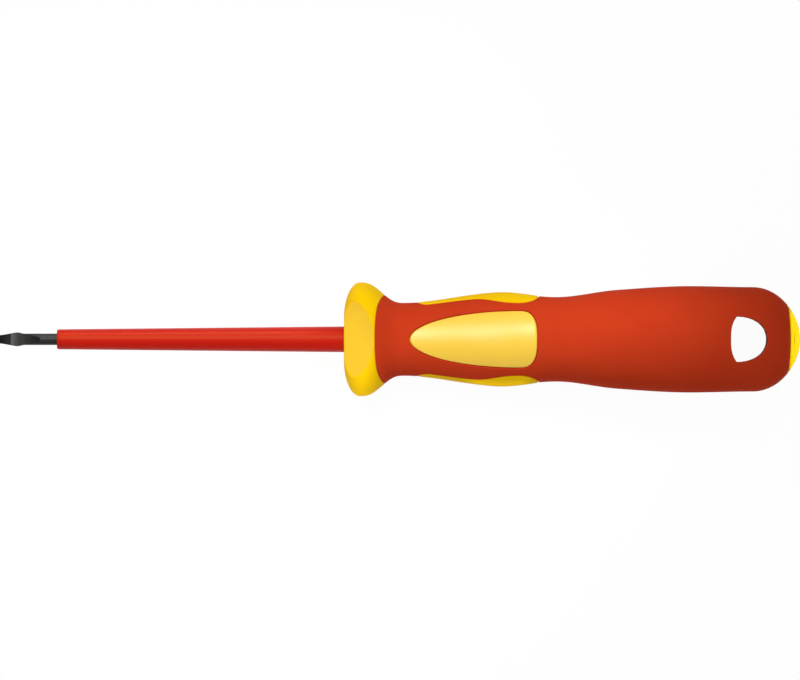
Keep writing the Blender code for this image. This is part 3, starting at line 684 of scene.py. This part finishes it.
# Smooth yellow elastomer: the same melt against a polished part of the mould, so that the thumb pads
# are glossier and show a bright band.
smooth_yellow = new_finish("smooth_yellow_elastomer")
wave_size = 4 * millimetre
spot = add(smooth_yellow, "ShaderNodeTexCoord").outputs["Object"]
mottle = add(smooth_yellow, "ShaderNodeTexNoise", {
    "Vector": spot, "Scale": 1 / mottle_size, "Detail": 3.0})
waves = add(smooth_yellow, "ShaderNodeTexNoise", {
    "Vector": spot, "Scale": 1 / wave_size, "Detail": 2.0})
tone = add(smooth_yellow, "ShaderNodeValToRGB", {"Fac": mottle.outputs["Fac"]}, stops=[
    (0.3, "#f8c804"), (0.7, "#fccc06")])
gloss = add(smooth_yellow, "ShaderNodeMapRange", {
    "Value": waves.outputs["Fac"], "To Min": 0.41, "To Max": 0.46})
relief = add(smooth_yellow, "ShaderNodeBump", {
    "Height": waves.outputs["Fac"], "Strength": 0.04, "Distance": 0.00002})
add(smooth_yellow, "Principled BSDF", {
    "Base Color": tone.outputs["Color"], "Roughness": gloss.outputs[0], "Normal": relief.outputs[0],
    "IOR": 1.6, "Specular IOR Level": 0.85})
soft_pad(thumb_outline, 0.0, smooth_yellow, "soft_thumb_pad_top", "thumb_pad_top")
soft_pad(thumb_outline, math.pi, smooth_yellow, "soft_thumb_pad_bottom", "thumb_pad_bottom")
soft_pad(finger_outline, -math.pi / 2, soft_yellow, "soft_finger_pad_left", "finger_pad_left")
soft_pad(finger_outline, math.pi / 2, soft_yellow, "soft_finger_pad_right", "finger_pad_right")

# End cap: soft yellow elastomer moulded on the butt, which keeps the handle from slipping when it is
# pushed with the palm. A spigot keys it into the grip.

spigot_radius, spigot_end = 4.0, cap_seam - 2.4
cap_front, cap_seam_depth, cap_tongue_depth = cap_seam + seam_half, 0.6, 0.7
cap_front_radius = handle_radius(cap_front)
cap_profile = [(spigot_end, 0.0), (spigot_end, spigot_radius), (cap_seam - tongue, spigot_radius)]
cap_profile.append((cap_seam - tongue, cap_front_radius - cap_tongue_depth))
cap_profile.append((cap_front, cap_front_radius - cap_seam_depth))
for turn in spread(math.pi / 2, 0.0, cells=4):
    x = cap_front + edge_round * (1 - math.sin(turn))
    cap_profile.append((x, handle_radius(x) - edge_round * (1 - math.cos(turn))))
for turn in spread(0.0, math.pi / 2, cells=24)[1:]:
    x = between(cap_front + edge_round, butt, math.sin(turn))
    cap_profile.append((x, handle_radius(x)))
cap = bmesh.new()
turned(cap, cap_profile, whole_steps)
waved(cap.verts, butt, cap_front, cap_wave)
settled(cap, "soft_end_cap", soft_yellow, "end_cap")

# Studio: a white bench in a white room, lit from all round and by soft boxes close to the driver. To the
# camera and in reflections the bench and the room are white, and the bench keeps a faint shadow.

bench_half = 6.0
bench = new_finish("white_bench")
rays = add(bench, "ShaderNodeLightPath")
seen = add(bench, "ShaderNodeMath", {
    0: rays.outputs["Is Camera Ray"], 1: rays.outputs["Is Glossy Ray"]}, operation="MAXIMUM")
seen = add(bench, "ShaderNodeMath", {
    0: seen.outputs[0], 1: rays.outputs["Is Transmission Ray"]}, operation="MAXIMUM")
bounce = add(bench, "ShaderNodeBsdfDiffuse", {"Color": linear("#d6d6d6")})
shadow = add(bench, "ShaderNodeBsdfDiffuse", {"Color": linear("#4a4a4a")})
glow = add(bench, "ShaderNodeEmission", {"Color": linear("#ffffff"), "Strength": 0.955})
shown = add(bench, "ShaderNodeAddShader", {0: shadow.outputs[0], 1: glow.outputs[0]})
mixed = add(bench, "ShaderNodeMixShader", {0: seen.outputs[0], 1: bounce.outputs[0], 2: shown.outputs[0]})
add(bench, "Material Output", {"Surface": mixed.outputs[0]})
floor = bmesh.new()
bmesh.ops.create_grid(floor, x_segments=1, y_segments=1, size=bench_half)
floor_mesh = bpy.data.meshes.new("bench")
floor.to_mesh(floor_mesh)
floor.free()
floor_mesh.materials.append(bench)
bench_top = bpy.data.objects.new("bench", floor_mesh)
bpy.context.scene.collection.objects.link(bench_top)

room = bpy.data.worlds.new("room")
room.use_nodes = True
bpy.context.scene.world = room
rays = add(room, "ShaderNodeLightPath")
seen = add(room, "ShaderNodeMath", {
    0: rays.outputs["Is Camera Ray"], 1: rays.outputs["Is Glossy Ray"]}, operation="MAXIMUM")
seen = add(room, "ShaderNodeMath", {
    0: seen.outputs[0], 1: rays.outputs["Is Transmission Ray"]}, operation="MAXIMUM")
ambient = add(room, "ShaderNodeBackground", {"Color": linear("#ffffff"), "Strength": 0.49})
white = add(room, "ShaderNodeBackground", {"Color": linear("#ffffff"), "Strength": 1.0})
mixed = add(room, "ShaderNodeMixShader", {0: seen.outputs[0], 1: ambient.outputs[0], 2: white.outputs[0]})
add(room, "World Output", {"Surface": mixed.outputs[0]})


def soft_box(name, size, power, beam, x, away, tilt=0.0, lean=0.0, shape="RECTANGLE", mirrored=True):
    """Soft box with a grid that narrows its beam, aimed at a place on the axis. From above it is tilted
    towards +Y and leans towards +X. One that isn't mirrored stays out of reflections."""
    lamp = bpy.data.lights.new(name, "AREA")
    lamp.shape = shape
    lamp.size, lamp.size_y = size
    lamp.energy, lamp.spread = power, math.radians(beam)
    box = bpy.data.objects.new(name, lamp)
    box.visible_camera, box.visible_glossy = False, mirrored
    box.rotation_euler = (-math.radians(tilt), math.radians(lean), 0)
    box.location = Vector((x, 0, axis_height)) + box.rotation_euler.to_matrix() @ Vector((0, 0, away))
    bpy.context.scene.collection.objects.link(box)


# Broad boxes light the handle, the blade and the sleeve. Narrow ones fill the shaded side of the sleeve,
# the guard and a finger pad, and light the butt.
soft_box("handle_box", size=(0.041, 0.03), power=0.0034, beam=25, x=0.0438, away=0.15, tilt=29, lean=17)
soft_box("blade_box", size=(0.128, 0.115), power=0.0305, beam=38, x=-0.04, away=0.15, tilt=21, lean=-4.5)
soft_box("sleeve_box", size=(0.068, 0.04), power=0.0034, beam=8, x=-0.05, away=0.15, tilt=66)
soft_box("sleeve_fill", size=(0.06, 0.02), power=0.0007, beam=8, x=-0.043, away=0.06, tilt=-78,
         mirrored=False)
soft_box("guard_box", size=(0.006, 0.02), power=0.00012, beam=8, x=-0.0085, away=0.06, tilt=-60)
soft_box("finger_fill", size=(0.012, 0.003), power=0.000035, beam=5, x=0.0215, away=0.06, tilt=-74,
         mirrored=False)
soft_box("butt_box", size=(0.0134, 0.0134), power=0.0004, beam=5, x=0.0872, away=0.02, lean=90,
         shape="ELLIPSE")

# The camera looks straight down, through a lens so long that it sees the driver as flat as the photo does.
bpy.context.scene.view_settings.view_transform = "Standard"
lens = bpy.data.cameras.new("camera")
lens.lens, lens.sensor_width = 1200, 36
lens.clip_end = 20
camera = bpy.data.objects.new("camera", lens)
bpy.context.scene.collection.objects.link(camera)
photo_width, photo_middle = 0.17415, -0.00015
camera.location = (0.0, photo_middle, axis_height + photo_width * lens.lens / lens.sensor_width)
bpy.context.scene.camera = camera
